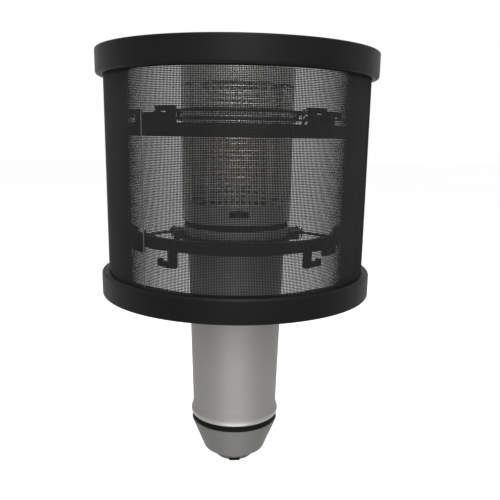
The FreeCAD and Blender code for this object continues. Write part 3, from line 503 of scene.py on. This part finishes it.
def rod_ends(points):
    """A straight rod's two end centres, the one farther from the microphone first."""
    centre = points.mean(axis=0)
    along = np.linalg.svd(points - centre, full_matrices=False)[2][0]
    reach = (points - centre) @ along
    ends = [centre + along * reach.max(), centre + along * reach.min()]
    return sorted(ends, key=lambda end: -math.hypot(end[0] - AXIS.x, end[1] - AXIS.y))


CORD_RADIUS = 0.55 * MM
LOOP_HALF = 0.95 * MM       # half the height of the loop at a strand's end
LOOP_SLIMNESS = 0.62
SWELL = 0.35                # how much thicker the cord is where it is bound, near each end
SWELL_PLACES = (0.07, 0.93)
SWELL_WIDTH = 0.035
STRAND_THINNING = 0.96      # of the cord's radius, along the whole strand
STRAND_STEPS = 40
STRAND_SIDES = 14
LOOP_THINNING = 0.55        # of the cord's radius, in the loops
LOOP_STEPS = 22
LOOP_SIDES = 10


def elastic_strands(node, tag):
    """Each strand as a round cord, thicker near its ends, with a closed loop at both."""
    cord = CORD_RADIUS
    for index, points in enumerate(islands(node)):
        outer, inner = rod_ends(points)
        run = (inner - outer) / np.linalg.norm(inner - outer)
        steps = np.linspace(0, 1, STRAND_STEPS)
        swell = 1 + SWELL * sum(np.exp(-((steps - place) / SWELL_WIDTH) ** 2) for place in SWELL_PLACES)
        strand = tube(outer + np.outer(steps, inner - outer), cord * swell * STRAND_THINNING,
                      STRAND_SIDES, False)
        loops = [strand]
        for end, way in ((outer, -run), (inner, run)):
            turn = np.linspace(0, 2 * math.pi, LOOP_STEPS, endpoint=False)
            path = end + np.outer((1 - np.cos(turn)) * LOOP_HALF * LOOP_SLIMNESS, way)
            path[:, 2] += LOOP_HALF * np.sin(turn)
            side = np.cross(way, (0, 0, 1.0))
            loops.append(tube(path, cord * LOOP_THINNING, LOOP_SIDES, True, side))
        piece = mesh_piece("%s_strand%d" % (tag, index), *joined(loops), MATERIALS["cord"])
        if index == 0:
            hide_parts(node)
        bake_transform(piece)


# ---------------------------------------------------------------- room, light and camera

FLOOR_SIZE = 12.0
FLOOR_DROP = 0.10
DIM = 0.16
DIM_TO_WHITE_UP = (-0.5, -0.12)     # the air's direction, along Z, where it goes from dim to white
DIM_TO_WHITE_BACK = (-0.9, 0.1)     # and along Y


def studio():
    """A pale floor well below the object, and white air that is dim low down in front.

    The floor is seen by the camera only: it lights nothing, shades nothing and is in no reflection."""
    bpy.ops.mesh.primitive_plane_add(size=FLOOR_SIZE, location=(0, 0, cad_low.z - FLOOR_DROP))
    floor = bpy.context.active_object
    floor.name = "floor"
    paint = new_material("floor_paint", (0.95, 0.95, 0.95), 0.9, specular=0.0)
    nodes = Nodes(paint)
    nodes.link(nodes.ramp(nodes.noise(0.6, 2.0), [(0.3, (0.97, 0.97, 0.97)), (0.7, (0.99, 0.99, 0.99))]),
               nodes.shader.inputs["Base Color"])
    floor.data.materials.append(paint)
    floor.visible_glossy = False
    floor.visible_diffuse = False
    floor.visible_shadow = False
    world = bpy.data.worlds.new("white_air")
    bpy.context.scene.world = world
    world.use_nodes = True
    tree = world.node_tree
    background = tree.nodes["Background"]
    direction = tree.nodes.new("ShaderNodeTexCoord").outputs["Generated"]
    apart = tree.nodes.new("ShaderNodeSeparateXYZ")
    tree.links.new(direction, apart.inputs["Vector"])
    rising = tree.nodes.new("ShaderNodeMapRange")
    for name, value in zip(("From Min", "From Max"), DIM_TO_WHITE_UP):
        rising.inputs[name].default_value = value
    tree.links.new(apart.outputs["Z"], rising.inputs["Value"])
    behind = tree.nodes.new("ShaderNodeMapRange")
    for name, value in zip(("From Min", "From Max"), DIM_TO_WHITE_BACK):
        behind.inputs[name].default_value = value
    tree.links.new(apart.outputs["Y"], behind.inputs["Value"])
    level = tree.nodes.new("ShaderNodeMath")
    level.operation = "MAXIMUM"
    tree.links.new(rising.outputs["Result"], level.inputs[0])
    tree.links.new(behind.outputs["Result"], level.inputs[1])
    ramp = tree.nodes.new("ShaderNodeValToRGB")
    dim, bright = ramp.color_ramp.elements
    dim.color = (DIM, DIM, DIM, 1.0)
    bright.color = (1.0, 1.0, 1.0, 1.0)
    tree.links.new(level.outputs["Value"], ramp.inputs["Fac"])
    tree.links.new(ramp.outputs["Color"], background.inputs["Color"])
    background.inputs["Strength"].default_value = 1.0


def soft_light(name, place, target, size, watts):
    lamp = bpy.data.lights.new(name, "AREA")
    lamp.shape = "RECTANGLE"
    lamp.size, lamp.size_y = size
    lamp.energy = watts
    light = bpy.data.objects.new(name, lamp)
    light.location = place
    light.rotation_euler = (Vector(target) - Vector(place)).to_track_quat("-Z", "Y").to_euler()
    bpy.context.collection.objects.link(light)


def lights():
    """A soft key over the top ring, a fill from under the shadowless floor, a little from the front."""
    centre = Vector((AXIS.x, AXIS.y, (BASE + CROWN) / 2))
    soft_light("key", centre + Vector((0.02, -0.42, 0.70)), centre, (0.40, 0.40), 8.0)
    soft_light("table_bounce", centre + Vector((0.0, -0.55, -0.60)), centre, (0.80, 0.50), 4.5)
    soft_light("front", centre + Vector((0.02, -0.75, 0.30)), centre, (0.40, 0.40), 4.5)


LENS = 44.72
SENSOR = 36.0
SHIFT_UP = 0.0484
STAND_BACK = 330.14 * MM
EYE_HEIGHT = 81.56 * MM     # above the lower ring's underside
EYE_AZIMUTH = -2.6
PAN = -1.34
TILT_DOWN = 12.66
ROLL = 0.917


def camera():
    """The photograph's view: close, a little left of square, tilted down from a little above mid height."""
    data = bpy.data.cameras.new("camera")
    data.lens = LENS
    data.sensor_width = SENSOR
    data.shift_y = SHIFT_UP
    data.clip_start = 0.01
    data.clip_end = 50.0
    eye = bpy.data.objects.new("camera", data)
    eye.location = at(EYE_AZIMUTH, STAND_BACK, BASE + EYE_HEIGHT)
    aim = Matrix.Rotation(math.radians(EYE_AZIMUTH + PAN), 4, "Z")
    tilt = Matrix.Rotation(math.radians(90 - TILT_DOWN), 4, "X")
    roll = Matrix.Rotation(math.radians(ROLL), 4, "Z")
    eye.rotation_euler = (aim @ tilt @ roll).to_euler()
    bpy.context.collection.objects.link(eye)
    bpy.context.scene.camera = eye


bpy.context.scene.view_settings.view_transform = "Standard"
camera()
dress_cad_nodes()
highlight_and_polish_lip()
connector_key()
shield_cloth()
head_cloth()
elastic_strands("upper_elastic_cords", "upper")
elastic_strands("lower_elastic_cords", "lower")
studio()
lights()
